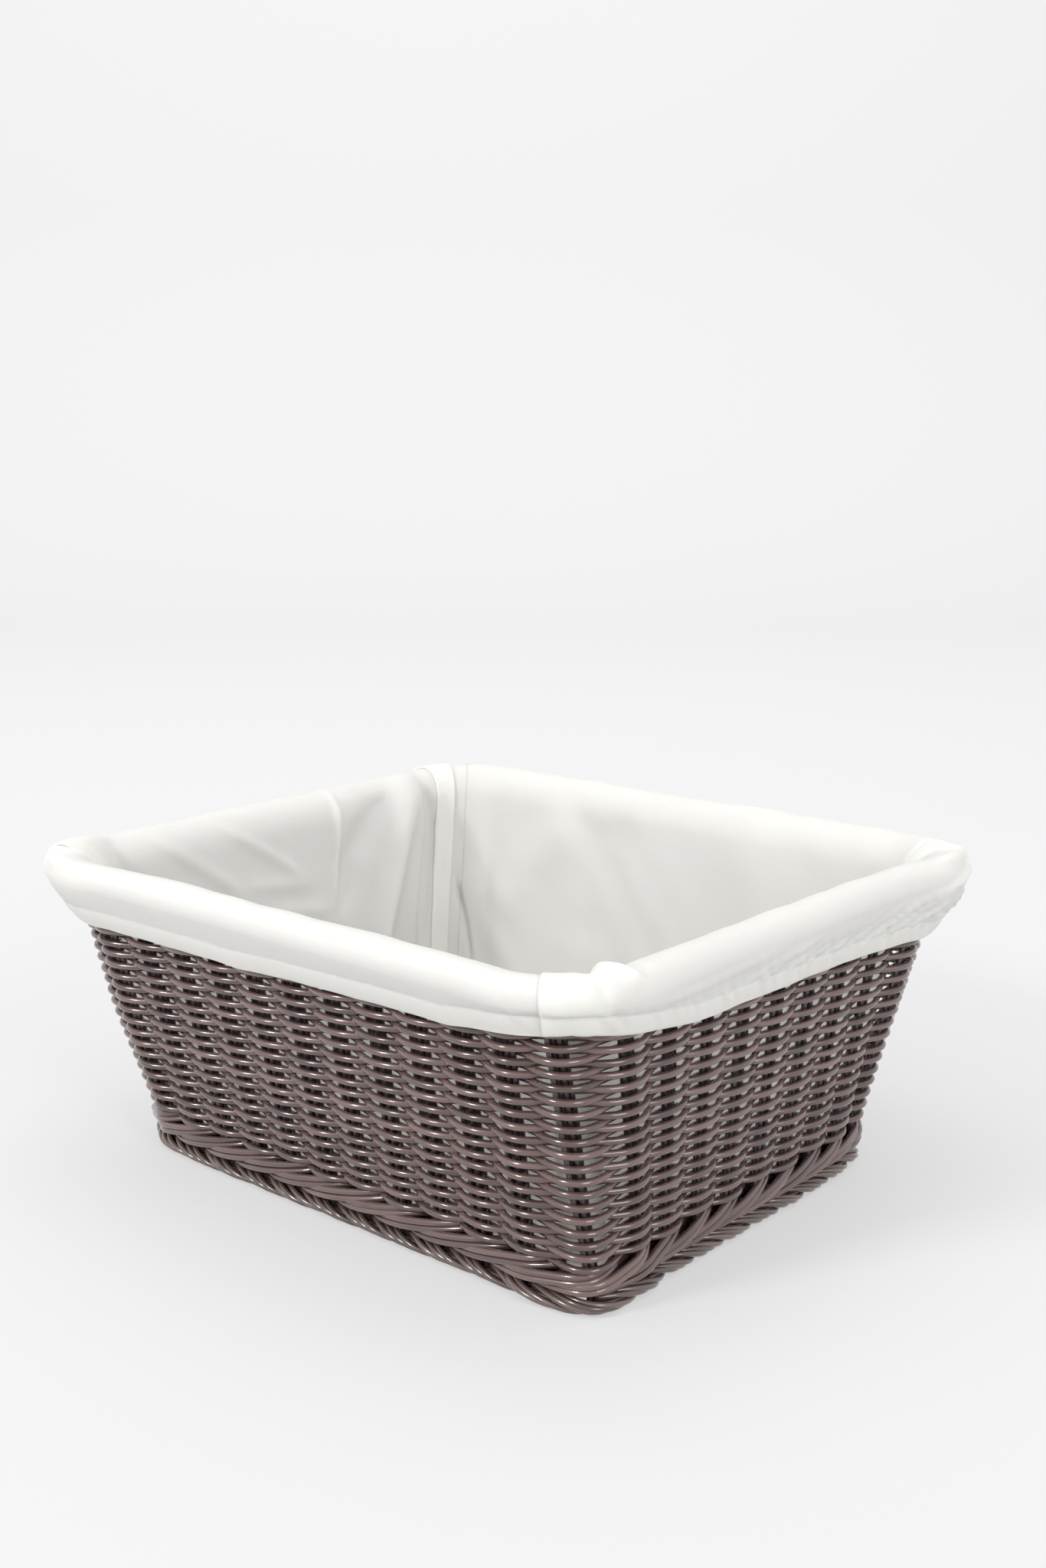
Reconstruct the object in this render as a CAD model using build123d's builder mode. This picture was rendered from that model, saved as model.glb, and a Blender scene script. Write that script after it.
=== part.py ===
"""Woven laundry basket with a removable cotton liner. Millimetres, +Z up.

The origin is the centre of the underside, on the surface that the basket stands on. X runs along
the length. The plan is a rounded rectangle that grows with height, because the walls lean out.
Every ring of the basket and the liner is that same plan at some inset, so an inset is measured
inwards from the outer face of the weave, and a negative one stands proud of it.
"""

import math
import os

from build123d import *

# Outer face of the weave
base_half_length = 187.0
base_half_width = 150.0
end_lean = 6.1  # degrees that the two short walls lean out
side_lean = 11.9  # degrees that the two long walls lean out
corner_radius = 51.0
wall_thickness = 13.0  # a strand in front, a stake and a strand behind

# Heights of the courses
foot_top = 9.0
wale_top = 17.0
base_underside = 3.0
base_top = 12.0
rim_height = 174.7  # centre of the rim border
rim_radius = 10.5

# Stakes and base sticks
long_spaces = 12  # spaces between stakes from corner to corner on a long wall
short_spaces = 10
stake_width = 15.0  # a flat bundle of thin strands
stake_thickness = 4.2
stake_foot = 2.0
stick_count = 9
stick_radius = 2.5

# Liner
cloth = 0.8
cloth_gap = 0.4  # between the cloth and the weave
rim_gap = 0.5  # between the cloth and the rim border
hem_bottom = 147.0
hem_height = 12.0
hem_thickness = 2.8
hem_gap = 0.6
skirt_inner = -6.7  # inset of the cloth's inner face where it leaves the rim
elastic_height = 6.0
elastic_thickness = 1.2
elastic_clearance = 0.2
seam_width = 14.0
seam_thickness = 1.0
seam_inset = 1.4  # of the seam's middle from the liner's inner face
seam_top = 168.0

liner_outer = wall_thickness + cloth_gap
liner_inner = liner_outer + cloth
rim_inset = liner_outer - rim_gap - rim_radius
foot_proud = 2.0
wale_proud = 0.8
cutter_reach = 90.0
cutter_low = -5.0
cutter_high = 200.0


def half_length(z):
    """Half the outer length of the weave at height z."""
    return base_half_length + z * math.tan(math.radians(end_lean))


def half_width(z):
    """Half the outer width of the weave at height z."""
    return base_half_width + z * math.tan(math.radians(side_lean))


def plan(z, inset):
    """The rounded rectangle of the basket at height z, moved inwards by inset."""
    with BuildSketch(Plane.XY.offset(z)) as outline:
        RectangleRounded(2 * (half_length(z) - inset), 2 * (half_width(z) - inset), corner_radius - inset)
    return outline.sketch


def tub(low, high, low_inset, high_inset=None):
    """A solid tub between two heights, with the basket's lean."""
    top_inset = low_inset if high_inset is None else high_inset
    with BuildPart() as solid:
        loft([plan(low, low_inset), plan(high, top_inset)], ruled=True)
    return solid.part


def band(low, high, outer, inner):
    """A ring of the wall: outer and inner are insets, each one number or a (low, high) pair."""
    outer_pair = outer if isinstance(outer, tuple) else (outer, outer)
    inner_pair = inner if isinstance(inner, tuple) else (inner, inner)
    with BuildPart() as ring:
        add(tub(low, high, *outer_pair))
        add(tub(low, high, *inner_pair), mode=Mode.SUBTRACT)
    return ring.part


def arc_centre(z):
    """Centre of the corner arc in the +X +Y corner at height z."""
    return half_length(z) - corner_radius, half_width(z) - corner_radius


def cutter(points_at):
    """A tall prism that follows the lean: points_at(z) gives its corners at height z."""
    with BuildPart() as prism:
        for z in (cutter_low, cutter_high):
            with BuildSketch(Plane.XY.offset(z)):
                with BuildLine():
                    Polyline(*points_at(z), close=True)
                make_face()
        loft(ruled=True)
    return prism.part


def side_cutter(side, splay):
    """The space of one wall. A splay of 1 reaches to the middle of each corner, and 0 only to its start."""

    def corners(z):
        x, y = arc_centre(z)
        reach = cutter_reach
        if side in ("front", "back"):
            sign = -1 if side == "front" else 1
            wide = x + splay * reach
            return [(-x, sign * y), (x, sign * y), (wide, sign * (y + reach)), (-wide, sign * (y + reach))]
        sign = -1 if side == "left" else 1
        wide = y + splay * reach
        return [(sign * x, -y), (sign * x, y), (sign * (x + reach), wide), (sign * (x + reach), -wide)]

    return cutter(corners)


def corner_cutter(end, side):
    """The space of one whole rounded corner."""
    x_sign = -1 if end == "left" else 1
    y_sign = -1 if side == "front" else 1

    def corners(z):
        x, y = arc_centre(z)
        far_x, far_y = x + cutter_reach, y + cutter_reach
        outline = [(x, y), (far_x, y), (far_x, far_y), (x, far_y)]
        return [(x_sign * px, y_sign * py) for px, py in outline]

    return cutter(corners)


def around(z, inset, wall, share):
    """A point on the plan, and the direction along it. Share runs from 0 to 1 between corner middles."""
    x, y = arc_centre(z)
    radius = corner_radius - inset
    quarter = radius * math.pi / 4
    run, out = (x, y) if wall in ("front", "back") else (y, x)
    travel = share * 2 * (run + quarter) - run - quarter
    if abs(travel) <= run:
        along, away, turn = travel, out + radius, 0.0
    else:
        turn = (abs(travel) - run) / radius
        along = math.copysign(run + radius * math.sin(turn), travel)
        away = out + radius * math.cos(turn)
        turn = math.copysign(turn, travel)
    frames = {
        "front": ((1, 0), (0, -1)),
        "right": ((0, 1), (1, 0)),
        "back": ((-1, 0), (0, 1)),
        "left": ((0, -1), (-1, 0)),
    }
    (ax, ay), (ox, oy) = frames[wall]
    point = (along * ax + away * ox, along * ay + away * oy)
    forward, outward = math.cos(turn), -math.sin(turn)
    return point, (forward * ax + outward * ox, forward * ay + outward * oy, 0)


def upright(wall, share, low, high, inset, width, thickness):
    """A flat rod with round edges that stands in the wall and leans with it."""
    with BuildPart() as rod:
        for z in (low, high):
            point, direction = around(z, inset, wall, share)
            with BuildSketch(Plane(origin=(*point, z), x_dir=direction, z_dir=(0, 0, 1))):
                SlotOverall(width, thickness)
        loft(ruled=True)
    return rod.part


def swept_ring(draw_section):
    """A ring with a constant section round the rim. draw_section draws it with +X outwards, +Y up."""
    length = 2 * (half_length(rim_height) - rim_inset)
    width = 2 * (half_width(rim_height) - rim_inset)
    with BuildSketch(Plane.XY.offset(rim_height)) as route:
        RectangleRounded(length, width, corner_radius - rim_inset)
    path = route.sketch.face().outer_wire()
    section_plane = Plane(origin=(length / 2, 0, rim_height), x_dir=(1, 0, 0), z_dir=(0, -1, 0))
    with BuildPart() as ring:
        with BuildSketch(section_plane) as section:
            draw_section()
        sweep(section.sketch, path=path)
    return ring.part


def draw_border():
    Circle(rim_radius)


def draw_cloth_ring():
    Circle(rim_radius + rim_gap + cloth)
    Circle(rim_radius + rim_gap, mode=Mode.SUBTRACT)


def draw_cuff():
    """The cloth over the rim: a half ring, open downwards."""
    draw_cloth_ring()
    with Locations((0, -rim_radius)):
        Rectangle(4 * rim_radius, 2 * rim_radius, mode=Mode.SUBTRACT)


def draw_tuck():
    """The cloth that turns in under the rim's outer side, an eighth of a ring."""
    draw_cloth_ring()
    far = 2 * rim_radius
    Polygon((0, 0), (far, -far), (far, 0), align=None, mode=Mode.INTERSECT)


def common(solid, space):
    """The part of a solid that lies in a space."""
    with BuildPart() as piece:
        add(solid)
        add(space, mode=Mode.INTERSECT)
    return piece.part


def write(part, name):
    """Labels a finished piece and writes it to its own file."""
    part.label = name
    export_step(part, f"parts/{name}.step")


os.makedirs("parts", exist_ok=True)
walls = {"front": long_spaces, "back": long_spaces, "left": short_spaces, "right": short_spaces}

# The rim border, a thick roll that the stakes' ends are worked into
rim_ring = swept_ring(draw_border)

# Stakes: flat bundles of strands, one in the middle of each corner and the rest evenly between
stake_depth = wall_thickness / 2
wall_stakes = {}
for wall, spaces in walls.items():
    wall_stakes[wall] = [
        upright(wall, step / spaces, stake_foot, rim_height, stake_depth, stake_width, stake_thickness)
        for step in range(1, spaces)
    ]
corner_stakes = [
    upright(wall, 0, stake_foot, rim_height, stake_depth, stake_width, stake_thickness) for wall in walls
]
all_stakes = [stake for group in wall_stakes.values() for stake in group] + corner_stakes

for wall, stakes in wall_stakes.items():
    with BuildPart() as stake_row:
        add(stakes)
        add(rim_ring, mode=Mode.SUBTRACT)
    write(stake_row.part, f"stakes_{wall}")

with BuildPart() as stakes_corners:
    add(corner_stakes)
    add(rim_ring, mode=Mode.SUBTRACT)
write(stakes_corners.part, "stakes_corners")

# The three courses that hold the stakes: foot border, waling and the woven wall
with BuildPart() as foot_ring:
    add(band(0, foot_top, -foot_proud, wall_thickness))
    add(all_stakes, mode=Mode.SUBTRACT)

with BuildPart() as wale_ring:
    add(band(foot_top, wale_top, -wale_proud, wall_thickness))
    add(all_stakes, mode=Mode.SUBTRACT)

with BuildPart() as weave_ring:
    add(band(wale_top, rim_height, 0, wall_thickness))
    add(all_stakes, mode=Mode.SUBTRACT)
    add(rim_ring, mode=Mode.SUBTRACT)

for wall in walls:
    half_corners = side_cutter(wall, 1)
    straight = side_cutter(wall, 0)
    write(common(foot_ring.part, half_corners), f"foot_border_{wall}")
    write(common(wale_ring.part, half_corners), f"waling_{wall}")
    write(common(weave_ring.part, straight), f"weave_{wall}")
    write(common(rim_ring, straight), f"rim_border_{wall}")

for side in ("front", "back"):
    for end in ("left", "right"):
        whole_corner = corner_cutter(end, side)
        write(common(weave_ring.part, whole_corner), f"weave_corner_{side}_{end}")
        write(common(rim_ring, whole_corner), f"rim_corner_{side}_{end}")

# The base: a woven mat with stiff sticks along it, inside the foot border
stick_height = (base_underside + base_top) / 2
stick_pitch = 2 * (half_width(stick_height) - wall_thickness) / (stick_count + 1)
stick_length = 2 * (half_length(stick_height) - wall_thickness - corner_radius / 4)

with BuildPart() as base_sticks:
    for row in range(stick_count):
        y = (row - (stick_count - 1) / 2) * stick_pitch
        with BuildSketch(Plane(origin=(-stick_length / 2, y, stick_height), z_dir=(1, 0, 0))):
            Circle(stick_radius)
        extrude(amount=stick_length)
write(base_sticks.part, "base_sticks")

with BuildPart() as base_mat:
    add(tub(base_underside, base_top, wall_thickness))
    add(base_sticks.part, mode=Mode.SUBTRACT)
write(base_mat.part, "base_mat")

# The liner: a bottom panel, four wall panels sewn at the corners, and the cuff over the rim
liner_floor = base_top + cloth_gap
write(tub(liner_floor, liner_floor + cloth, liner_inner), "liner_bottom")

liner_ring = band(liner_floor, rim_height, liner_outer, liner_inner)
cuff_ring = swept_ring(draw_cuff)

# Below the rim the cuff draws in to a stitched hem, which an elastic pulls against the weave
hem_top = hem_bottom + hem_height
hem_outer = -hem_gap - hem_thickness
skirt_top = rim_height - (rim_radius + rim_gap) * math.sin(math.radians(45))
skirt_outer = skirt_inner - 1.5 * cloth
elastic_low = hem_bottom + (hem_height - elastic_height) / 2
elastic_outer = -hem_gap - (hem_thickness + elastic_thickness) / 2
elastic_inner = elastic_outer + elastic_thickness

with BuildPart() as skirt_ring:
    add(band(hem_bottom, hem_top, hem_outer, -hem_gap))
    add(band(hem_top, skirt_top, (hem_outer, skirt_outer), (hem_outer + cloth, skirt_inner)))
    add(swept_ring(draw_tuck))
    add(
        band(
            elastic_low - elastic_clearance,
            elastic_low + elastic_height + elastic_clearance,
            elastic_outer - elastic_clearance,
            elastic_inner + elastic_clearance,
        ),
        mode=Mode.SUBTRACT,
    )

for wall in walls:
    half_corners = side_cutter(wall, 1)
    write(common(liner_ring, half_corners), f"liner_{wall}")
    write(common(cuff_ring, half_corners), f"cuff_{wall}")
    write(common(skirt_ring.part, half_corners), f"cuff_skirt_{wall}")

write(band(elastic_low, elastic_low + elastic_height, elastic_outer, elastic_inner), "hem_elastic")

# A flat seam runs down the inside of each corner of the liner
seam_foot = liner_floor + 2 * cloth
for wall, corner in {"front": "front_left", "right": "front_right", "back": "back_right", "left": "back_left"}.items():
    seam = upright(wall, 0, seam_foot, seam_top, liner_inner + seam_inset, seam_width, seam_thickness)
    write(seam, f"liner_seam_{corner}")
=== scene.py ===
"""The looks of the woven laundry basket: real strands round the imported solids, and a sewn cotton liner.

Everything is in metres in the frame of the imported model. A place on the basket is given as
(u, z, inset): u counts stakes round the basket from the middle of the front left corner, and inset is
measured inwards from the outer face of the weave.
"""

import math

import bpy
import numpy as np
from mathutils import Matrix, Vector


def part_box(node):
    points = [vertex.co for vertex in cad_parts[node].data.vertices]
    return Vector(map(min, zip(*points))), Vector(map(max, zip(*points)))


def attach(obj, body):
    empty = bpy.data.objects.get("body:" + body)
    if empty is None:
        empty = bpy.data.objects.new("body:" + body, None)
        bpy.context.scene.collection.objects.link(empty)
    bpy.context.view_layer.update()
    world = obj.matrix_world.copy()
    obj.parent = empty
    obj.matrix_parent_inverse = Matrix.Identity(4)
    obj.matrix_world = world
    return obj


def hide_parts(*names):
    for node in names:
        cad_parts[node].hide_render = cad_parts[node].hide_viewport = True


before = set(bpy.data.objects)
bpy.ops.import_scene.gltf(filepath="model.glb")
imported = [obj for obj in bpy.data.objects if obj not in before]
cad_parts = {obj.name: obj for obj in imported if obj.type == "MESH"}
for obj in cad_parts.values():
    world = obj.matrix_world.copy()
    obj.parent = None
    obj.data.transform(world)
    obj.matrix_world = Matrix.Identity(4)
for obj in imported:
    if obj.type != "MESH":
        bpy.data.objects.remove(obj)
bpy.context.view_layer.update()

MM = 0.001
TAU = 2 * math.pi
WALLS = ("front", "right", "back", "left")
SPACES = (12, 10, 12, 10)  # stake spaces along each wall, from the middle of one corner to that of the next
STAKES = sum(SPACES)
SPACE = 30 * MM  # one stake space along the rim, near enough

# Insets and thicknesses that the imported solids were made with
CORNER_RADIUS = 51 * MM  # of the outer face of the weave, in plan
WALL_MIDDLE = 6.5 * MM
LINER_INNER = 14.2 * MM
RIM_INSET = 2.4 * MM

# Strands
STRAND = 1.95 * MM  # radius of a weaving strand
STAKE_STRAND = 1.65 * MM
ROW_PITCH = 3.585 * MM
WEAVE_MIDDLE = 6.4 * MM
WEAVE_SWING = 4.25 * MM

# Where the corners were pulled in or out by hand: the place in u, how far out at the foot and at the top,
# how wide the bend is, and the height at which the top's value is reached. The front right one has two.
CORNER_SHAPES = (
    (0, -4 * MM, 3.5 * MM, 1.5, 100 * MM),
    (12.1, 11 * MM, 0, 0.85, 190 * MM),
    (12, 4 * MM, 0, 0.4, 260 * MM),
    (22, -8 * MM, 6 * MM, 1.5, 150 * MM),
    (34, -5 * MM, 0, 1.5, 90 * MM),
)


# ---------------------------------------------------------------- the basket's plan

rim_side, rim_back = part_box("rim_border_right"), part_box("rim_border_back")
rim_z = (rim_side[0].z + rim_side[1].z) / 2
rim_radius = (rim_side[1].z - rim_side[0].z) / 2
floor_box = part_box("liner_bottom")
floor_z = floor_box[1].z
wale_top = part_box("waling_front")[1].z
foot_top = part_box("foot_border_front")[1].z
mat_low, mat_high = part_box("base_mat")

LENGTH_LINE = np.polyfit(
    [floor_z, rim_z], [floor_box[1].x + LINER_INNER, (rim_side[0].x + rim_side[1].x) / 2 + RIM_INSET], 1
)
WIDTH_LINE = np.polyfit(
    [floor_z, rim_z], [floor_box[1].y + LINER_INNER, (rim_back[0].y + rim_back[1].y) / 2 + RIM_INSET], 1
)


def smooth(t):
    t = np.clip(t, 0, 1)
    return t * t * (3 - 2 * t)


def near(u, place, width):
    """1 at a place round the basket, falling to 0 at about twice width from it."""
    away = np.abs(np.mod(u - place + STAKES / 2, STAKES) - STAKES / 2)
    return np.exp(-((away / width) ** 2))


def corner_push(u, z):
    """How far each corner stands outwards of an even plan: the woven ones were pulled in or out by hand."""
    push = 0
    for corner, at_foot, at_top, width, top in CORNER_SHAPES:
        push = push + (at_top + (at_foot - at_top) * smooth(1 - z / top)) * near(u, corner, width)
    return push


def plan(u, z, inset):
    """Points of the plan, with the outward normal and the direction along it, for arrays u, z and inset.

    Each wall runs from the middle of one corner to the middle of the next, so it turns by 45 degrees at both
    ends.
    """
    u, z, inset = np.broadcast_arrays(*(np.asarray(value, float) for value in (u, z, inset)))
    inset = inset - corner_push(u, z)
    u = np.mod(np.round(u, 9), STAKES)
    x = np.polyval(LENGTH_LINE, z) - CORNER_RADIUS
    y = np.polyval(WIDTH_LINE, z) - CORNER_RADIUS
    point = np.zeros(u.shape + (3,))
    normal = np.zeros_like(point)
    along = np.zeros_like(point)
    start = 0
    # For each wall, x and y of the direction along it and of the direction out of it
    sides = ((1, 0, 0, -1), (0, 1, 1, 0), (-1, 0, 0, 1), (0, -1, -1, 0))
    for spaces, (ax, ay, ox, oy) in zip(SPACES, sides):
        here = (u >= start) & (u < start + spaces)
        run, out = (x, y) if ax else (y, x)
        reference = CORNER_RADIUS - WALL_MIDDLE
        half = run + reference * math.pi / 4
        travel = (2 * (u - start) / spaces - 1) * half
        turn = np.sign(travel) * np.maximum(np.abs(travel) - run, 0) / reference
        radius = CORNER_RADIUS - inset
        forward = np.clip(travel, -run, run) + radius * np.sin(turn)
        away = out + radius * np.cos(turn)
        for axis, (a, o) in enumerate(((ax, ox), (ay, oy))):
            point[..., axis] = np.where(here, forward * a + away * o, point[..., axis])
            normal[..., axis] = np.where(here, np.sin(turn) * a + np.cos(turn) * o, normal[..., axis])
            along[..., axis] = np.where(here, np.cos(turn) * a - np.sin(turn) * o, along[..., axis])
        start += spaces
    point[..., 2] = z
    return point, normal, along


def on_plan(u, z, inset):
    return plan(u, z, inset)[0]


def waves(x, scale, count, seed):
    """A smooth wandering value about 0 for each x, with features about scale long."""
    draw = np.random.default_rng(seed)
    total = np.zeros_like(np.asarray(x, float))
    for _ in range(count):
        total = total + np.sin(TAU * x / (scale * draw.uniform(0.6, 1.9)) + draw.uniform(0, TAU))
    return total / math.sqrt(count)


def round_waves(u, scale, count, seed):
    """The same for u, and it comes round to where it began after one turn of the basket."""
    draw = np.random.default_rng(seed)
    total = np.zeros_like(np.asarray(u, float))
    for _ in range(count):
        turns = max(1, round(STAKES / (scale * draw.uniform(0.6, 1.9))))
        total = total + np.sin(TAU * turns * u / STAKES + draw.uniform(0, TAU))
    return total / math.sqrt(count)


# ---------------------------------------------------------------- meshes


def with_short_ends(rows):
    """The rows with one more close to each end, so that a strand's flat ends don't shade its sides."""
    second = rows[:1] + 0.03 * (rows[1:2] - rows[:1])
    last_but_one = rows[-1:] + 0.03 * (rows[-2:-1] - rows[-1:])
    return np.concatenate([rows[:1], second, rows[1:-1], last_but_one, rows[-1:]])


class Strands:
    """Gathers round strands into one mesh, with the straightened strand's own coordinates on each vertex."""

    def __init__(self, sides=10):
        self.sides = sides
        self.points, self.faces, self.own, self.tints = [], [], [], []
        self.caps = []
        self.count = 0

    def add(self, path, radius, hint, tint, closed=False, travelled=None):
        """One strand along path. hint is a direction that isn't along it, one or one per point.

        tint, from 0 to 1, tells strands apart. travelled is how far along its strand each point is, where the
        path is only a part of a longer strand.
        """
        path = np.asarray(path, float)
        hint = np.broadcast_to(np.asarray(hint, float), path.shape)
        radius = np.broadcast_to(np.asarray(radius, float), len(path))
        if travelled is None:
            steps = np.linalg.norm(np.diff(path, axis=0), axis=1)
            travelled = np.concatenate([[0], np.cumsum(steps)])
        if not closed:
            path, hint, radius, travelled = map(with_short_ends, (path, hint, radius, travelled))
        ahead = np.roll(path, -1, 0) - np.roll(path, 1, 0)
        if not closed:
            ahead[0], ahead[-1] = path[1] - path[0], path[-1] - path[-2]
        ahead /= np.linalg.norm(ahead, axis=1)[:, None]
        side = hint - (hint * ahead).sum(1)[:, None] * ahead
        side /= np.linalg.norm(side, axis=1)[:, None]
        other = np.cross(ahead, side)
        turn = TAU * np.arange(self.sides) / self.sides
        radius = radius[:, None, None]
        ring = np.cos(turn)[None, :, None] * side[:, None] + np.sin(turn)[None, :, None] * other[:, None]
        own = np.zeros((len(path), self.sides, 3))
        own[..., 0] = travelled[:, None] + tint * 7.0
        own[..., 1] = np.cos(turn)[None] * radius[..., 0] + tint
        own[..., 2] = np.sin(turn)[None] * radius[..., 0]
        self.points.append((path[:, None] + ring * radius).reshape(-1, 3))
        self.own.append(own.reshape(-1, 3))
        self.tints.append(np.full(len(path) * self.sides, tint))
        rows = np.arange(len(path) if closed else len(path) - 1)
        after = (rows + 1) % len(path)
        a, b = np.meshgrid(rows, np.arange(self.sides), indexing="ij")
        c = after[a]
        d = (b + 1) % self.sides
        quads = np.stack([a * self.sides + b, c * self.sides + b, c * self.sides + d, a * self.sides + d], -1)
        self.faces.append(quads.reshape(-1, 4) + self.count)
        if not closed:
            ring_ids = np.arange(self.sides) + self.count
            self.caps.append(ring_ids.tolist())
            self.caps.append((ring_ids[::-1] + (len(path) - 1) * self.sides).tolist())
        self.count += len(path) * self.sides

    def build(self, name, material):
        quads = np.concatenate(self.faces).tolist()
        mesh = bpy.data.meshes.new(name)
        mesh.from_pydata(np.concatenate(self.points).tolist(), [], quads + self.caps)
        smooth_faces = np.ones(len(mesh.polygons), bool)
        smooth_faces[len(quads):] = False
        mesh.polygons.foreach_set("use_smooth", smooth_faces)
        own = mesh.attributes.new("own", "FLOAT_VECTOR", "POINT")
        own.data.foreach_set("vector", np.concatenate(self.own).astype(np.float32).ravel())
        tint = mesh.attributes.new("tint", "FLOAT", "POINT")
        tint.data.foreach_set("value", np.concatenate(self.tints).astype(np.float32))
        mesh.materials.append(material)
        piece = bpy.data.objects.new(name, mesh)
        bpy.context.scene.collection.objects.link(piece)
        return piece


def sheet_piece(name, grid, material, thickness, flat_co):
    """A sheet of cloth from a grid of points (rows, columns, 3), given its thickness by a modifier.

    flat_co is where each point lies on the flat cloth.
    """
    rows, columns = grid.shape[:2]
    ids = np.arange(rows * columns).reshape(rows, columns)
    quads = np.stack([ids[:-1, :-1], ids[:-1, 1:], ids[1:, 1:], ids[1:, :-1]], -1).reshape(-1, 4)
    mesh = bpy.data.meshes.new(name)
    mesh.from_pydata(grid.reshape(-1, 3).tolist(), [], quads.tolist())
    mesh.polygons.foreach_set("use_smooth", np.ones(len(mesh.polygons), bool))
    flat = mesh.attributes.new("flat", "FLOAT_VECTOR", "POINT")
    flat.data.foreach_set("vector", flat_co.reshape(-1, 3).astype(np.float32).ravel())
    mesh.materials.append(material)
    piece = bpy.data.objects.new(name, mesh)
    bpy.context.scene.collection.objects.link(piece)
    thick = piece.modifiers.new("cloth_thickness", "SOLIDIFY")
    thick.thickness = thickness
    thick.offset = 0
    return piece


# ---------------------------------------------------------------- materials


class Nodes:
    """A short way to write a node material."""

    def __init__(self, name):
        self.material = bpy.data.materials.new(name)
        self.material.use_nodes = True
        self.tree = self.material.node_tree
        self.shader = self.tree.nodes["Principled BSDF"]

    def node(self, kind, inputs=None, **settings):
        made = self.tree.nodes.new(kind)
        for key, value in settings.items():
            setattr(made, key, value)
        for key, value in (inputs or {}).items():
            if isinstance(value, bpy.types.NodeSocket):
                self.tree.links.new(value, made.inputs[key])
            else:
                made.inputs[key].default_value = value
        return made

    def attribute(self, name, output="Vector"):
        return self.node("ShaderNodeAttribute", attribute_name=name).outputs[output]

    def scaled(self, vector, scale):
        return self.node("ShaderNodeMapping", {"Vector": vector, "Scale": scale}).outputs["Vector"]

    def noise(self, vector, scale, detail):
        """Noise with its own scale for each axis of vector."""
        inputs = {"Vector": self.scaled(vector, scale), "Scale": 1.0, "Detail": detail}
        return self.node("ShaderNodeTexNoise", inputs).outputs["Fac"]

    def math(self, operation, a, b=0.5, c=0.0):
        return self.node("ShaderNodeMath", {0: a, 1: b, 2: c}, operation=operation).outputs[0]

    def ramp(self, factor, stops):
        made = self.node("ShaderNodeValToRGB", {"Fac": factor})
        elements = made.color_ramp.elements
        while len(elements) < len(stops):
            elements.new(0.5)
        for element, (position, colour) in zip(elements, stops):
            element.position = position
            element.color = (*colour, 1)
        return made.outputs["Color"]

    def span(self, value, low, high):
        """A 0 to 1 value spread from low to high."""
        inputs = {"Value": value, "To Min": low, "To Max": high}
        return self.node("ShaderNodeMapRange", inputs).outputs["Result"]

    def bump(self, height, strength, distance):
        inputs = {"Height": height, "Strength": strength, "Distance": distance}
        return self.node("ShaderNodeBump", inputs).outputs["Normal"]

    def set(self, **values):
        for key, value in values.items():
            socket = self.shader.inputs[key.replace("_", " ")]
            if isinstance(value, bpy.types.NodeSocket):
                self.tree.links.new(value, socket)
            else:
                socket.default_value = value
        return self.material


def strand_material(name, dark, middle, light, roughness):
    """Round synthetic rattan: fine grain along the strand, a little variation from strand to strand."""
    m = Nodes(name)
    own, tint = m.attribute("own"), m.attribute("tint", "Fac")
    grain = m.noise(own, (25, 1500, 1500), 4.0)
    patches = m.noise(own, (30, 120, 120), 2.0)
    ribs = m.noise(own, (2200, 500, 500), 2.0)
    blend = m.math("MULTIPLY_ADD", tint, 0.30, m.math("MULTIPLY", grain, 0.40))
    blend = m.math("MULTIPLY_ADD", patches, 0.30, blend)
    colour = m.ramp(blend, [(0.25, dark), (0.5, middle), (0.78, light)])
    height = m.math("MULTIPLY_ADD", ribs, 0.35, m.math("MULTIPLY", grain, 0.8))
    normal = m.bump(height, 0.35, 0.0003)
    rough = m.span(patches, roughness - 0.08, roughness + 0.12)
    return m.set(
        Base_Color=colour,
        Roughness=rough,
        Normal=normal,
        Specular_IOR_Level=0.5,
        Coat_Weight=0.8,
        Coat_Roughness=0.13,
    )


def cloth_material(name, dark, light):
    """Thin white plain-weave cotton, a little see-through, with yarns about a third of a millimetre apart."""
    m = Nodes(name)
    flat = m.attribute("flat")
    yarns_per_metre = 3000.0
    see_through = 0.6
    apart = m.node("ShaderNodeSeparateXYZ", {"Vector": flat})
    wobble = m.noise(flat, (400, 400, 400), 2.0)
    threads = []
    for axis in ("X", "Y"):
        run = m.math("MULTIPLY", wobble, 3.0)
        run = m.math("MULTIPLY_ADD", apart.outputs[axis], yarns_per_metre * math.pi, run)
        threads.append(m.math("ABSOLUTE", m.math("SINE", run)))
    weave = m.math("MULTIPLY", threads[0], threads[1])
    slubs = m.noise(flat, (60, 1400, 60), 3.0)
    across = m.noise(flat, (1400, 60, 60), 3.0)
    blend = m.math("MULTIPLY_ADD", slubs, 0.4, m.math("MULTIPLY", across, 0.4))
    blend = m.math("MULTIPLY_ADD", weave, 0.2, blend)
    colour = m.ramp(blend, [(0.2, dark), (0.75, light)])
    height = m.math("MULTIPLY_ADD", weave, 0.5, blend)
    normal = m.bump(height, 0.25, 0.0002)
    m.set(
        Base_Color=colour,
        Roughness=0.88,
        Normal=normal,
        Sheen_Weight=0.2,
        Sheen_Roughness=0.5,
        Specular_IOR_Level=0.2,
    )
    through = m.node("ShaderNodeBsdfTranslucent", {"Color": colour, "Normal": normal})
    mix = m.node("ShaderNodeMixShader", {0: see_through, 1: m.shader.outputs[0], 2: through.outputs[0]})
    m.tree.links.new(mix.outputs[0], m.tree.nodes["Material Output"].inputs["Surface"])
    return m.material


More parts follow.
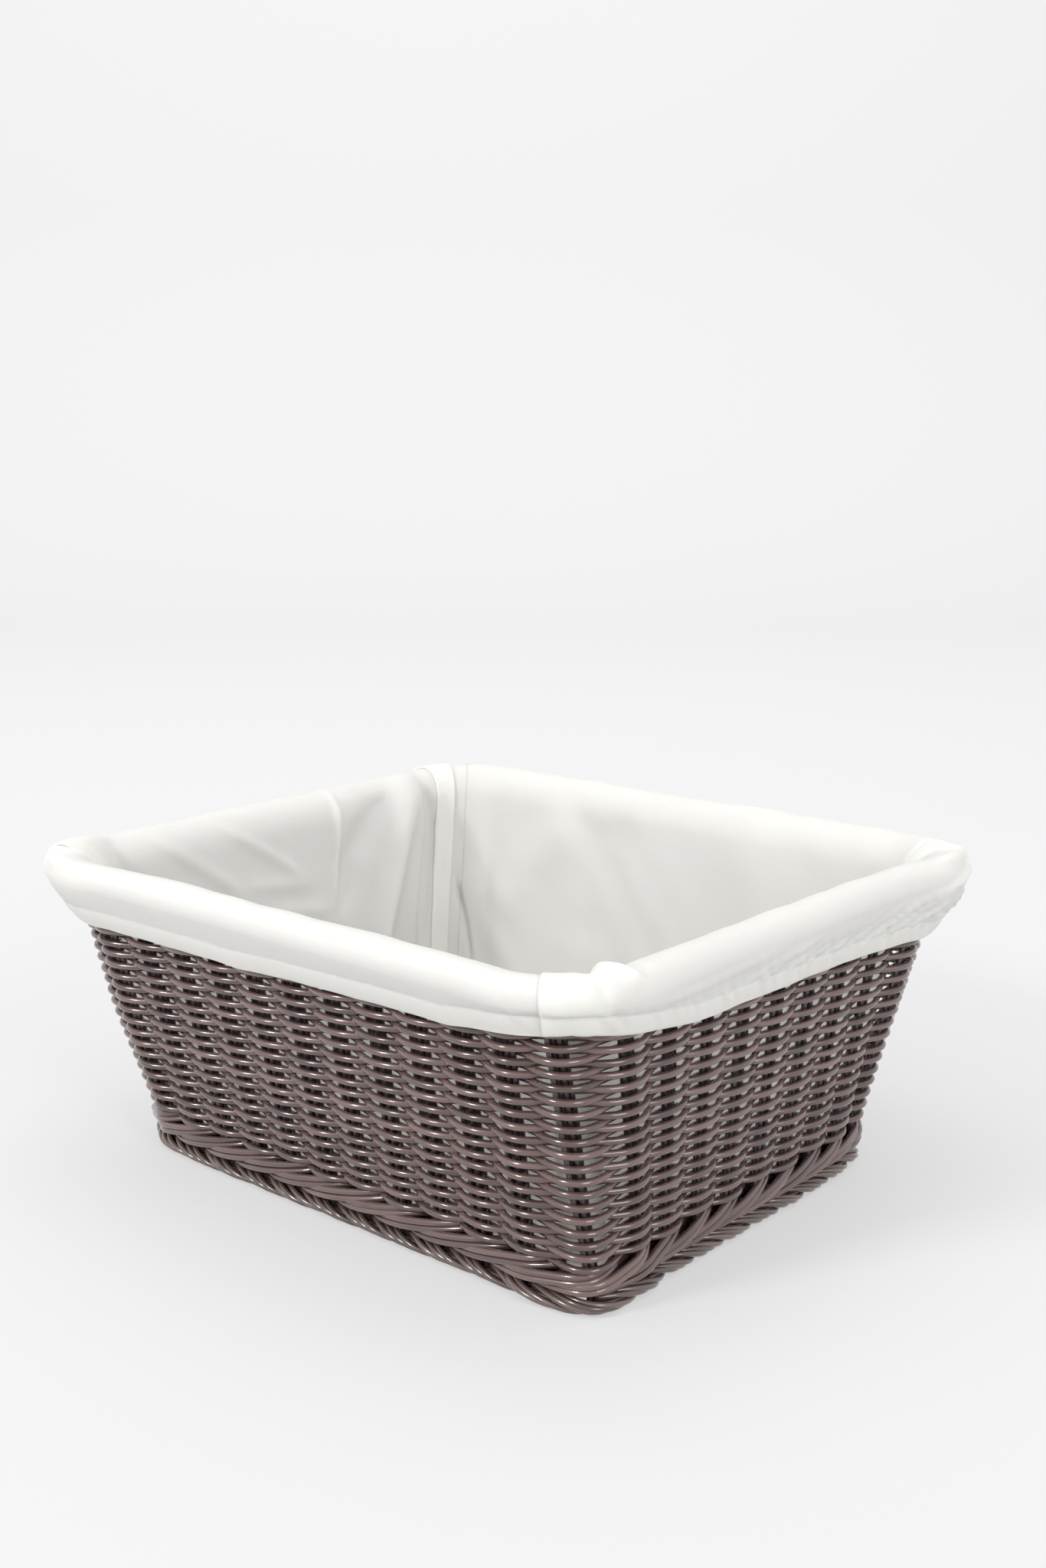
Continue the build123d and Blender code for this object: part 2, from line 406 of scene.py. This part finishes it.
# For each strand material, its dark, middle and light colours and its roughness
STRAND_COLOURS = {
    "strand": ((0.038, 0.020, 0.019), (0.090, 0.052, 0.048), (0.155, 0.098, 0.091), 0.25),
    # The foot's colours are the strand's made darker: painted shade, for the shadow that falls on the foot
    # border.
    "shaded_foot_strand": ((0.036, 0.021, 0.018), (0.075, 0.048, 0.041), (0.125, 0.088, 0.076), 0.28),
    # The stakes' colours are the strand's made near black: painted shade, for the shadow that the outer
    # strands cast on them.
    "stake_strand": ((0.010, 0.006, 0.007), (0.022, 0.013, 0.014), (0.040, 0.025, 0.024), 0.4),
}
strand_look, foot_shaded_look, stake_shaded_look = (strand_material(name, *look) for name, look in STRAND_COLOURS.items())
cloth_look = cloth_material("liner_cotton", (0.925, 0.922, 0.900), (0.975, 0.972, 0.955))
thread_look = cloth_material("thread", (0.78, 0.78, 0.77), (0.90, 0.90, 0.89))


# ---------------------------------------------------------------- the woven walls


def placed(piece, body, slot, *nodes):
    """Says what body a piece rides on and the nodes that it stands for; slot is not used."""
    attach(piece, body)
    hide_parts(*nodes)
    return piece


def add_run(strands, u, z, inset, radius, tint):
    """A strand along the wall through arrays of places."""
    path, normal, _ = plan(leaned(u, z), z, inset)
    strands.add(path, radius, normal, tint, travelled=u * SPACE)


def leaned(u, z):
    """Where a stake at u has got to at height z: the one in the front right corner leans a little."""
    lean = np.interp(z, (20 * MM, 150 * MM), (0.10, -0.20))
    return u + lean * near(u, 12, 1.3)


def weave_inset(u, row):
    """How a randing strand swings in front of one stake and behind the next."""
    swing = np.cos(math.pi * (u + row))
    flat = swing * (1.18 - 0.18 * swing * swing)
    return WEAVE_MIDDLE - WEAVE_SWING * flat + corner_chord(u)


def corner_chord(u):
    """A taut strand cuts straight across between the stakes of a rounded corner."""
    corners = np.cumsum((0,) + SPACES[:3])
    turning = sum(near(u, corner, 1.1) for corner in corners)
    return 1.8 * MM * np.sin(math.pi * u) ** 2 * turning


def wall_span(wall):
    """Where a wall's straight part starts and ends, as u."""
    start = sum(SPACES[: WALLS.index(wall)])
    return start + 1.5, start + SPACES[WALLS.index(wall)] - 1.5


def woven_spans():
    """The eight woven pieces: name of the node and its span of u."""
    spans = {}
    for wall in WALLS:
        spans[f"weave_{wall}"] = wall_span(wall)
    corners = ("front_right", "back_right", "back_left", "front_left")
    for index, corner in enumerate(corners):
        low = wall_span(WALLS[index])[1]
        high = wall_span(WALLS[(index + 1) % 4])[0]
        spans[f"weave_corner_{corner}"] = (low, high if high > low else high + STAKES)
    return spans


def make_weave():
    """Rows of single strands, over one stake and under the next, from the waling to inside the rim."""
    first_z = wale_top + 2 * ROW_PITCH + STRAND
    rows = int((rim_z - 3 * MM - first_z) / ROW_PITCH) + 1
    draw = np.random.default_rng(3)
    tints = draw.random(rows)
    sizes = draw.normal(1.0, 0.02, rows)
    lifts = draw.normal(0, 0.12 * MM, rows)
    for name, (low, high) in woven_spans().items():
        strands = Strands()
        u = np.linspace(low, high, int((high - low) * 10) + 1)
        for row in range(rows):
            z = first_z + row * ROW_PITCH + lifts[row]
            z = z + 0.25 * MM * round_waves(u, 3.0, 4, 100 + row)
            inset = weave_inset(u, row) + 0.15 * MM * round_waves(u, 1.7, 4, 300 + row)
            add_run(strands, u, z, inset, STRAND * sizes[row], tints[row])
        placed(strands.build(name + "_strands", strand_look), "basket", "weave_strand", name)


def make_stakes():
    """Bundles of four thin strands side by side."""
    draw = np.random.default_rng(5)
    groups = {f"stakes_{wall}": [] for wall in WALLS}
    groups["stakes_corners"] = []
    start = 0
    for wall, spaces in zip(WALLS, SPACES):
        groups["stakes_corners"].append(start)
        groups[f"stakes_{wall}"] += [start + step for step in range(1, spaces)]
        start += spaces
    z = np.linspace(4 * MM, rim_z - 2 * MM, 32)
    spread = 0.58 + 0.42 * smooth((z - 25 * MM) / (100 * MM))
    for name, stakes in groups.items():
        strands = Strands(8)
        for stake in stakes:
            squeeze = spread * draw.uniform(0.9, 1.06)
            gap = draw.choice([0, 0.7, 1.5], p=[0.5, 0.3, 0.2]) * MM
            for index in range(4):
                offset = (index - 1.5) * 2.75 * MM * squeeze + math.copysign(gap / 2, index - 1.5)
                path, normal, along = plan(leaned(np.full_like(z, stake), z), z, WEAVE_MIDDLE)
                wander = offset + 0.3 * MM * waves(z, 60 * MM, 3, int(draw.integers(1e6)))
                depth = (0.45 + 2.4 * (1 - squeeze)) * MM * (-1) ** index
                depth = depth + 0.2 * MM * waves(z, 40 * MM, 3, int(draw.integers(1e6)))
                path = path + along * wander[:, None] + normal * depth[:, None]
                strands.add(path, STAKE_STRAND, normal, draw.random())
        # The stakes are drawn in near black, painted shade.
        placed(strands.build(name + "_strands", stake_shaded_look), "basket", "stake_strand", name)


def make_waling():
    """The stake ends above the foot: from behind each stake a pair slopes down across the two before it.

    Inside them four rows run straight round, which close the wall.
    """
    draw = np.random.default_rng(7)
    t = np.linspace(0, 1, 40)
    front = np.sin(math.pi * t) ** 0.55
    low = foot_top + STRAND - 0.8 * MM
    start = 0
    for wall, spaces in zip(WALLS, SPACES):
        strands = Strands()
        for stake in range(start, start + spaces):
            for index, rise in enumerate((14.0 * MM, 13.2 * MM)):
                u = stake + 0.62 - 0.10 * index - 2.72 * t + 0.03 * draw.standard_normal()
                z = low + 3.5 * MM * index + rise * (1 - t) ** 1.3 + 0.3 * MM * draw.standard_normal()
                inset = WEAVE_MIDDLE + WEAVE_SWING * (1.3 - 2.75 * front) - 0.5 * MM * (1 - index) * front
                add_run(strands, u, z, inset + corner_chord(u), STRAND, draw.random())
        u = np.linspace(start, start + spaces, spaces * 8 + 1)
        for row in range(4):
            add_run(strands, u, foot_top + 1.5 * MM + row * ROW_PITCH, 11.4 * MM + 0 * u, STRAND, 0.1)
        name = f"waling_{wall}"
        placed(strands.build(name + "_strands", strand_look), "basket", "weave_strand", name)
        start += spaces


def make_foot():
    """The foot border: three thin strands to a stake, side by side, that slant out, down and under a core."""
    draw = np.random.default_rng(11)
    t = np.linspace(0, 1, 34)
    turn = np.radians(120 - 265 * t)
    radius = 1.6 * MM
    middle_z = foot_top / 2 + 0.5 * MM
    start = 0
    for wall, spaces in zip(WALLS, SPACES):
        strands = Strands()
        for stake in range(start, start + spaces):
            for index in range(3):
                u = stake + 0.26 * index + 0.03 * draw.standard_normal() + 1.75 * t
                proud = 0.3 * MM * draw.standard_normal() + 0.5 * MM * (index == 1)
                z = middle_z + (middle_z - radius - 0.1 * MM) * np.sin(turn)
                inset = 4.6 * MM - (5.5 * MM + proud) * np.cos(turn)
                add_run(strands, u, z, inset, radius, draw.random())
        u = np.linspace(start, start + spaces, spaces * 8 + 1)
        for inset in (2.8 * MM, 4.6 * MM, 6.4 * MM):
            add_run(strands, u, middle_z, inset + 0 * u, radius, 0.0)
        name = f"foot_border_{wall}"
        # The foot border is drawn darker than the weave, painted shade.
        placed(strands.build(name + "_strands", foot_shaded_look), "basket", "weave_strand", name)
        start += spaces


def make_rim():
    """The rolled border under the cuff: strands laid slanting over a core, and the core itself."""
    draw = np.random.default_rng(13)
    t = np.linspace(0, 1, 30)
    spans = {f"rim_border_{wall}": wall_span(wall) for wall in WALLS}
    for name, span in woven_spans().items():
        if "corner" in name:
            spans[name.replace("weave", "rim")] = span
    core_radius = rim_radius - 2.4 * STRAND
    for name, (low, high) in spans.items():
        strands = Strands()
        u = np.linspace(low, high, int((high - low) * 8) + 1)
        path, normal, _ = plan(u, rim_z, RIM_INSET)
        strands.add(path, core_radius, normal, 0.1)
        for stake in range(math.ceil(low), math.floor(high) + 1):
            for index in range(4):
                u = stake - 0.9 + index * 0.25 + 2.0 * t
                angle = math.radians(-70) + math.radians(285) * t
                over = core_radius + STRAND * (1.05 - 0.25 * np.sin(math.pi * t) * (index % 2))
                z = rim_z + over * np.sin(angle)
                inset = RIM_INSET - over * np.cos(angle)
                add_run(strands, u, z, inset, STRAND * 0.95, draw.random())
        placed(strands.build(name + "_strands", strand_look), "basket", "weave_strand", name)


def make_base():
    """Sticks along the base, and strands across it that go over one and under the next."""
    draw = np.random.default_rng(19)
    middle = (mat_low.z + mat_high.z) / 2
    stick_low, stick_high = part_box("base_sticks")
    count = 9
    ys = np.linspace(stick_low.y + 2.5 * MM, stick_high.y - 2.5 * MM, count)
    sticks = Strands()
    for y in ys:
        x = np.linspace(stick_low.x, stick_high.x, 12)
        path = np.stack([x, np.full_like(x, y), np.full_like(x, middle)], -1)
        sticks.add(path, 1.9 * MM, (0, 0, 1), draw.random())
    # The sticks take the stakes' near-black colours, painted shade.
    placed(sticks.build("base_stick_rods", stake_shaded_look), "basket", "weave_strand", "base_sticks")
    mat = Strands(8)
    half_x, half_y = mat_high.x + 1.5 * MM, mat_high.y + 1.5 * MM
    radius = CORNER_RADIUS - 13 * MM
    pitch = ys[1] - ys[0]
    rows = int(2 * half_x / (3.7 * MM))
    for row in range(rows):
        x = -half_x + (row + 0.5) * 2 * half_x / rows
        past = max(0.0, abs(x) - (half_x - radius))
        reach = half_y - radius + math.sqrt(max(radius**2 - past**2, 0))
        y = np.linspace(-reach, reach, 80)
        swing = np.cos(math.pi * ((y - ys[0]) / pitch + row))
        z = middle + 2.9 * MM * swing
        path = np.stack([np.full_like(y, x), y, z], -1)
        mat.add(path, 1.85 * MM, (0, 0, 1), draw.random())
    placed(mat.build("base_mat_strands", strand_look), "basket", "weave_strand", "base_mat")


make_weave()
make_stakes()
make_waling()
make_foot()
make_rim()
make_base()


# ---------------------------------------------------------------- the liner

CLOTH = 0.6 * MM
HEM = 11.5 * MM
COLUMNS_PER_SPACE = 24
OVER_RIM = rim_radius + 0.95 * MM
SEAM_INSET = -5.8 * MM
HEM_INSET = -2.9 * MM
HEM_FOLD = 0.8 * MM  # radius of the turned edge
HEM_ROWS = 12
SHOULDER = 8 * MM  # how far below the rim's middle the cloth starts to bend over it
WALL_CLEARANCE = 3.7 * MM  # how much farther in the cloth is at the top of a wall than at its bottom

# The elastic has pulled the hem up in some places more than in others: (u, height of its lower edge)
HEM_LINE = ((0, 148), (5, 147.5), (7, 150), (10, 151), (11.3, 155), (12, 158), (12.6, 154), (13.4, 149.5),
            (14.3, 145.5), (18.5, 143.5), (21, 140), (23, 143), (28, 147), (34, 150), (39, 146), (44, 148))

# The cuff is cut square, so at each corner it stands off the rounded rim: (u, how far)
CUFF_CORNERS = ((0, 4.5 * MM), (12, 1.5 * MM), (22, 4 * MM), (34, 4 * MM))

# Soft folds of the inner walls: the points (u, z in mm) that each follows, and its width and height in mm
WALL_FOLDS = (
    (((42.4, 184), (41.5, 160), (40.5, 133)), 4, 2.0),
    (((40.9, 183), (39.9, 160), (38.8, 134)), 3.5, 2.1),
    (((40.5, 139), (38.7, 131)), 5, 1.8),
    (((39.8, 118), (38.1, 109)), 5, 1.8),
    (((37.8, 188), (38.1, 104)), 2.6, 2.8),
    (((36.1, 184), (37.0, 164), (37.6, 140), (37.8, 98)), 11, -4.5),
    (((35.7, 186), (36.1, 142), (36.6, 88), (36.9, 40)), 9, 7.5),
    (((35.3, 186), (35.1, 148), (35.3, 60)), 4.5, -8.0),
    (((34.2, 111), (33.8, 78), (33.5, 48)), 2.0, -3.5),
    (((30.4, 168), (31.9, 125), (32.8, 80)), 18, 4.5),
    (((29.4, 176), (29.9, 118), (30.1, 70)), 22, -3.5),
    (((26.5, 180), (25.2, 120), (24.6, 60)), 20, 3.5),
    (((43.2, 186), (43.0, 160), (42.6, 120)), 6, -3.0),
    (((15.2, 180), (15.9, 110), (16.0, 40)), 14, 4.0),
    (((18.6, 182), (18.2, 120), (19.3, 50)), 12, 4.0),
    (((3.1, 184), (3.9, 120), (3.6, 40)), 13, 4.5),
    (((8.4, 184), (7.6, 110), (8.1, 50)), 15, 4.0),
)


def distance_to_line(x, y, points):
    """How far each (x, y) is from a line of points, and how far along it the nearest place is (0 to 1)."""
    nearest = np.full(x.shape, np.inf)
    where = np.zeros(x.shape)
    runs = [math.dist(a, b) for a, b in zip(points, points[1:])]
    passed = 0
    for (ax, ay), (bx, by), run in zip(points, points[1:], runs):
        t = np.clip(((x - ax) * (bx - ax) + (y - ay) * (by - ay)) / run**2, 0, 1)
        away = np.hypot(x - ax - t * (bx - ax), y - ay - t * (by - ay))
        closer = away < nearest
        nearest = np.where(closer, away, nearest)
        where = np.where(closer, (passed + t * run) / sum(runs), where)
        passed += run
    return nearest, where


def folds(u, height, lines):
    """The height of soft folds at (u, height in mm), fading out at the ends of each fold."""
    total = np.zeros(u.shape)
    for points, width, size in lines:
        scaled = [(a * SPACE / MM, b) for a, b in points]
        away, where = distance_to_line(u * SPACE / MM, height, scaled)
        fade = smooth((where + 0.02) / 0.25) * smooth((1.02 - where) / 0.25)
        total += size * MM * np.exp(-((away / width) ** 2)) * (0.15 + 0.85 * fade)
    return total


def cuff_folds():
    """Folds of the cuff, told as those of the walls, but with mm up the cloth from the hem's edge for z."""
    lines = []
    draw = np.random.default_rng(17)
    for step in range(10):
        u = 15.2 + 0.62 * step + draw.uniform(-0.15, 0.15)
        lines.append((((u, 9), (u + 0.7, 18), (u + 1.9, 25 + 0.7 * step)), 1.3, 1.1 + 0.10 * step))
    for step in range(4):
        u = 19.2 + 0.55 * step
        lines.append((((u, 12), (u + 0.9, 24), (22.0, 38)), 2.0, 2.2))
    lines.append((((12.75, 15), (14.5, 22), (16.5, 26)), 3, 1.2))
    lines.append((((12.55, 56), (12.55, 42), (12.85, 26)), 3.6, 4.6))
    lines.append((((12.95, 52), (13.0, 34)), 3.2, -2.0))
    lines.append((((12.25, 50), (12.25, 36), (12.45, 20)), 2.6, -1.5))
    lines.append((((43.0, 52), (43.6, 46), (44.2, 42)), 3.0, 3.2))
    lines.append((((-0.6, 42), (0.5, 38), (1.3, 40)), 3.0, 2.4))
    lines.append((((-0.9, 12), (-0.3, 22), (0.0, 34)), 2.5, 1.4))
    lines.append((((21.0, 50), (21.9, 42), (22.3, 36)), 3.5, 2.4))
    lines.append((((22.9, 14), (22.5, 24), (22.2, 34)), 2.5, 1.5))
    return lines


CUFF_FOLDS = cuff_folds()


def liner_line(u):
    """The cloth's line above each u before it is folded, from the floor over the rim to the turned hem.

    Gives its height and its inset (rows, columns), how many rows come before the turned part, and the row
    of the hem's seam.
    """
    hem = np.interp(np.mod(u, STAKES), *zip(*HEM_LINE)) * MM
    hem = hem + 0.25 * MM * round_waves(u, 1.3, 4, 41)
    seam = hem + HEM
    roll_end = np.maximum(rim_z - 3.2 * MM, seam + 2.5 * MM)
    end_turn = np.arcsin((roll_end - rim_z) / OVER_RIM)

    def rows(count, first=0.0):
        return np.linspace(first, 1, count)[:, None] + 0 * u[None]

    t = rows(52)
    wall_top = rim_z - SHOULDER
    wall_z = floor_z + 0.2 * MM + (wall_top - floor_z) * t
    wall_inset = LINER_INNER + WALL_CLEARANCE * smooth(t)
    t = rows(15, 1 / 15)
    shoulder_z = wall_top + (OVER_RIM + SHOULDER) * np.sin(t * math.pi / 2)
    shoulder_inset = RIM_INSET + (LINER_INNER + WALL_CLEARANCE - RIM_INSET) * np.cos(t * math.pi / 2)
    t = rows(22, 1 / 22)
    turn = math.pi / 2 + (end_turn - math.pi / 2) * t
    roll_z = rim_z + OVER_RIM * np.sin(turn)
    roll_inset = RIM_INSET - OVER_RIM * np.cos(turn)
    t = rows(9, 1 / 9)
    skirt_z = roll_end + (seam - roll_end) * t
    skirt_inset = roll_inset[-1] + (SEAM_INSET - roll_inset[-1]) * (0.75 * t + 0.25 * smooth(t))
    t = rows(HEM_ROWS, 1 / HEM_ROWS)
    band_z = seam - (HEM - HEM_FOLD) * t
    band_inset = SEAM_INSET + (HEM_INSET - SEAM_INSET) * t - 0.8 * MM * np.sin(math.pi * t) ** 0.8
    t = rows(6, 1 / 6) * math.pi
    fold_z = hem + HEM_FOLD - HEM_FOLD * np.sin(t)
    fold_inset = band_inset[-1] + HEM_FOLD * (1 - np.cos(t))
    t = rows(5, 1 / 5)
    inside_z = hem + HEM_FOLD + (HEM - 2 * HEM_FOLD) * t
    inside_inset = fold_inset[-1] + 0.1 * MM * t

    z = np.concatenate([wall_z, shoulder_z, roll_z, skirt_z, band_z, fold_z, inside_z])
    inset = np.concatenate(
        [wall_inset, shoulder_inset, roll_inset, skirt_inset, band_inset, fold_inset, inside_inset]
    )
    shown = len(z) - len(fold_z) - len(inside_z)
    return z, inset, shown, shown - HEM_ROWS - 1


def liner_folds(grid_u, z, from_hem):
    """How far the folds, puckers and creases raise the cloth. from_hem is in mm up the cloth from its hem."""
    on_wall = smooth((z - floor_z) / (14 * MM)) * smooth((from_hem - 38) / 14)
    drift = 1.1 * round_waves(grid_u + 0.01 * z / MM, 6.0, 5, 51) * waves(z / MM, 120, 3, 52)
    fine = 0.25 * round_waves(grid_u - 0.03 * z / MM, 1.9, 4, 53)
    raised = on_wall * (folds(grid_u, z / MM, WALL_FOLDS) + (drift + fine + 0.6) * MM)

    on_cuff = smooth((62 - from_hem) / 12)
    raised = raised + on_cuff * folds(grid_u, from_hem, CUFF_FOLDS)
    raised = raised + on_cuff * folds(grid_u - STAKES, from_hem, CUFF_FOLDS)
    gathered = 0.14 + 0.62 * near(grid_u, 18, 4.5) + 0.35 * near(grid_u, 12.5, 1.0)
    past_seam = from_hem - HEM / MM
    beside_seam = np.where(past_seam > 0, np.exp(-(past_seam / 5.5)), np.exp(past_seam / 8))
    pucker = round_waves(grid_u + 0.02 * from_hem, 0.30, 5, 61) + 0.6 * round_waves(grid_u, 0.7, 3, 62)
    raised = raised + gathered * MM * pucker * beside_seam * (from_hem > -0.5)
    raised = raised - 0.45 * MM * np.exp(-(past_seam / 0.9) ** 2)
    return raised + 0.3 * MM * on_cuff * round_waves(grid_u, 4.0, 4, 63)


def liner_surface(u, lift=0.0):
    """The cloth above each u with its folds, raised by lift.

    Gives points (rows, columns, 3), each point's distance up the cloth, and the row of the hem's seam.
    """
    z, inset, shown, seam_row = liner_line(u)
    is_shown = np.arange(len(z))[:, None] < shown
    rise_z, rise_inset = np.gradient(z, axis=0), np.gradient(inset, axis=0)
    length = np.hypot(rise_z, rise_inset) + 1e-9
    steps = np.hypot(np.diff(z, axis=0), np.diff(inset, axis=0))
    travelled = np.concatenate([np.zeros((1, len(u))), np.cumsum(steps, 0)])
    from_hem = (travelled[shown - 1] - travelled) / MM
    grid_u = np.broadcast_to(u, z.shape)
    raised = np.where(is_shown, liner_folds(grid_u, z, from_hem) + lift, 0)

    corner = sum(near(u, place, 1.0) * size for place, size in CUFF_CORNERS)
    stands_off = smooth((from_hem + 4) / 26) * smooth((52 - from_hem) / 22)
    shown_inset = inset + rise_z / length * raised - corner * stands_off
    shown_z = z - rise_inset / length * raised

    # Keep clear of the wall and of the rim
    inner_side = (from_hem > 46) & (shown_z < rim_z - 6 * MM)
    shown_inset = np.where(inner_side, np.maximum(shown_inset, 13.7 * MM), shown_inset)
    from_rim = np.hypot(shown_inset - RIM_INSET, shown_z - rim_z)
    least = rim_radius + np.where(is_shown, 0.55 * MM + lift, 0.0)
    clear = np.maximum(1, least / from_rim)
    shown_inset = RIM_INSET + (shown_inset - RIM_INSET) * clear
    shown_z = rim_z + (shown_z - rim_z) * clear
    return on_plan(grid_u, shown_z, shown_inset), travelled, seam_row


def make_panels():
    """The four wall panels, each in one piece with its cuff and its turned hem."""
    start = 0
    for wall, spaces in zip(WALLS, SPACES):
        u = np.linspace(start, start + spaces, spaces * COLUMNS_PER_SPACE + 1)
        points, travelled, _ = liner_surface(u)
        flat = np.stack([np.broadcast_to(u * SPACE, travelled.shape), travelled, 0 * travelled], -1)
        piece = sheet_piece(f"liner_{wall}_cloth", points[:, ::-1], cloth_look, CLOTH, flat[:, ::-1])
        placed(piece, "liner", "liner_cloth", f"liner_{wall}", f"cuff_{wall}", f"cuff_skirt_{wall}")
        make_trim(wall, start, start + spaces)
        start += spaces


# Where the strip over each corner seam starts and ends, and whether each of those edges stands proud
SEAM_STRIPS = {
    "front_left": (-0.40, 0.36, False, False),
    "front_right": (11.66, 12.45, True, False),
    "back_right": (21.65, 22.40, False, False),
    "back_left": (34.36, 34.95, True, True),
}


def make_seam(corner):
    """A strip of cloth that laps over the corner seam, from the floor over the rim to the hem."""
    low, high, low_proud, high_proud = SEAM_STRIPS[corner]
    u = np.linspace(low, high, 20)
    across = np.linspace(0, 1, 20)
    sunk = (not low_proud) * smooth((0.45 - across) / 0.45)
    sunk = sunk + (not high_proud) * smooth((across - 0.55) / 0.45)
    lift = CLOTH * (1.9 - 2.6 * sunk)
    points, travelled, seam_row = liner_surface(u, lift)
    last = seam_row + HEM_ROWS + 1
    points, travelled = points[4:last], travelled[4:last]
    flat = np.stack([np.broadcast_to(u * SPACE, travelled.shape), travelled, 0 * travelled], -1)
    piece = sheet_piece(f"liner_seam_{corner}_strip", points[:, ::-1], cloth_look, CLOTH, flat[:, ::-1])
    return placed(piece, "liner", "liner_seam", f"liner_seam_{corner}")


def make_stitches(wall, low, high):
    """A row of machine stitches along the top of the hem."""
    pitch = 2.6 * MM / SPACE
    hem_height = 160 * MM
    starts = np.arange(low, high - pitch, pitch)
    u = np.stack([starts, starts + pitch * 0.34, starts + pitch * 0.68], -1).ravel()
    points, _, seam_row = liner_surface(u)
    line = points[seam_row].reshape(-1, 3, 3)
    out = plan(u, hem_height, 0)[1].reshape(-1, 3, 3)
    stitches = Strands(5)
    for path, normal in zip(line + out * 0.45 * MM, out):
        path[1] += normal[1] * 0.12 * MM
        stitches.add(path, 0.24 * MM, normal, 0.5)
    piece = stitches.build(f"hem_stitches_{wall}", thread_look)
    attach(piece, "liner")
    return piece


def make_trim(wall, low, high):
    """What is sewn to a panel: the strip over the corner that it starts at, and the hem's stitches."""
    corner = {"front": "front_left", "right": "front_right", "back": "back_right", "left": "back_left"}[wall]
    return [make_seam(corner), make_stitches(wall, low, high)]


def make_elastic():
    """The elastic, a flat cord that runs round inside the turned hem."""
    u = np.linspace(0, STAKES, STAKES * 8, endpoint=False)
    hem = np.interp(u, *zip(*HEM_LINE)) * MM
    strands = Strands(8)
    path, normal, _ = plan(u, hem + 4 * MM, HEM_INSET + 0.15 * MM)
    strands.add(path, 0.5 * MM, normal, 0.5, closed=True)
    placed(strands.build("hem_elastic_cord", thread_look), "liner", "elastic", "hem_elastic")


def make_liner_bottom():
    """The panel on the base, in rings from its edge to its middle."""
    u = np.linspace(0, STAKES, STAKES * 6 + 1)
    rings = np.linspace(1, 0, 40)
    edge = on_plan(u, floor_z, LINER_INNER - 0.3 * MM)
    grid = np.stack([edge * [ring, ring, 1] for ring in rings])
    x, y = grid[..., 0], grid[..., 1]
    lift = 0.5 * MM * (1 + waves(x, 120 * MM, 4, 31) * waves(y, 100 * MM, 4, 32))
    inner = smooth((1 - rings) / 0.12)[:, None]
    grid[..., 2] = floor_z - 0.2 * MM + np.abs(lift) * inner
    flat = np.stack([x, y, np.zeros_like(x)], -1)
    piece = sheet_piece("liner_bottom_cloth", grid, cloth_look, CLOTH, flat)
    placed(piece, "liner", "liner_cloth", "liner_bottom")


make_panels()
make_liner_bottom()
make_elastic()


# ---------------------------------------------------------------- stage, light and camera

FACING = math.radians(40.884)  # the way the camera looks, turned from +Y


def make_stage():
    """A pale light table that curves up into a backdrop: it glows a little, so that shadows are faint."""
    depth, height, bend, half = 2.6, 3.0, 0.9, 6.0
    forward = np.array([-math.sin(FACING), math.cos(FACING), 0])
    side = np.array([math.cos(FACING), math.sin(FACING), 0])
    arc = np.radians(np.linspace(0, 90, 24))
    outline = [(-3.5, 0)] + [(depth + bend * math.sin(a), bend * (1 - math.cos(a))) for a in arc]
    outline.append((depth + bend, height))
    points = [forward * d + side * s + np.array([0, 0, h]) for d, h in outline for s in (-half, half)]
    faces = [(2 * i, 2 * i + 1, 2 * i + 3, 2 * i + 2) for i in range(len(outline) - 1)]
    mesh = bpy.data.meshes.new("floor")
    mesh.from_pydata([p.tolist() for p in points], [], faces)
    mesh.polygons.foreach_set("use_smooth", np.ones(len(faces), bool))
    m = Nodes("floor")
    mesh.materials.append(
        m.set(
            Base_Color=(0.26, 0.26, 0.26, 1),
            Roughness=0.75,
            Specular_IOR_Level=0.2,
            Emission_Color=(1, 1, 1, 1),
            Emission_Strength=0.48,
        )
    )
    stage = bpy.data.objects.new("floor", mesh)
    bpy.context.scene.collection.objects.link(stage)


def area_light(name, location, target, size, power):
    """A rectangular lamp at location that shines at target."""
    light = bpy.data.lights.new(name, "AREA")
    light.shape = "RECTANGLE"
    light.size, light.size_y = size
    light.energy = power
    lamp = bpy.data.objects.new(name, light)
    lamp.location = location
    aim = np.array(target) - np.array(location)
    lamp.rotation_euler = Vector(aim).to_track_quat("-Z", "Y").to_euler()
    bpy.context.scene.collection.objects.link(lamp)
    return lamp


def make_light():
    """An even white world, and four lamps, of which the key one shines on the front wall."""
    world = bpy.data.worlds.new("studio")
    bpy.context.scene.world = world
    world.use_nodes = True
    world.node_tree.nodes["Background"].inputs["Color"].default_value = (1, 1, 1, 1)
    world.node_tree.nodes["Background"].inputs["Strength"].default_value = 1.0
    area_light("key", (-1.1, -3.9, 2.5), (0, 0, 0.1), (0.95, 0.8), 128)
    area_light("fill", (4.0, -0.8, 1.9), (0, 0, 0.1), (2.2, 1.8), 84)
    area_light("top", (-0.1, 0.1, 1.6), (0, 0, 0.1), (0.8, 0.8), 4)
    area_light("backdrop", (-0.8, 0.9, 2.7), (-2.2, 2.5, 1.1), (2.5, 1.2), 30)
    scene = bpy.context.scene
    scene.view_settings.view_transform = "Standard"
    scene.view_settings.look = "None"
    scene.view_settings.exposure = 0.0


def make_camera():
    """A camera that looks a little down on the front right corner."""
    camera = bpy.data.cameras.new("camera")
    camera.lens = 42.735
    camera.sensor_width = 36
    camera.clip_start, camera.clip_end = 0.05, 50
    holder = bpy.data.objects.new("camera", camera)
    holder.location = (0.7188, -0.8145, 0.4493)
    holder.rotation_euler = (math.radians(90 - 11.674), 0, FACING)
    bpy.context.scene.collection.objects.link(holder)
    bpy.context.scene.camera = holder


make_stage()
make_light()
make_camera()
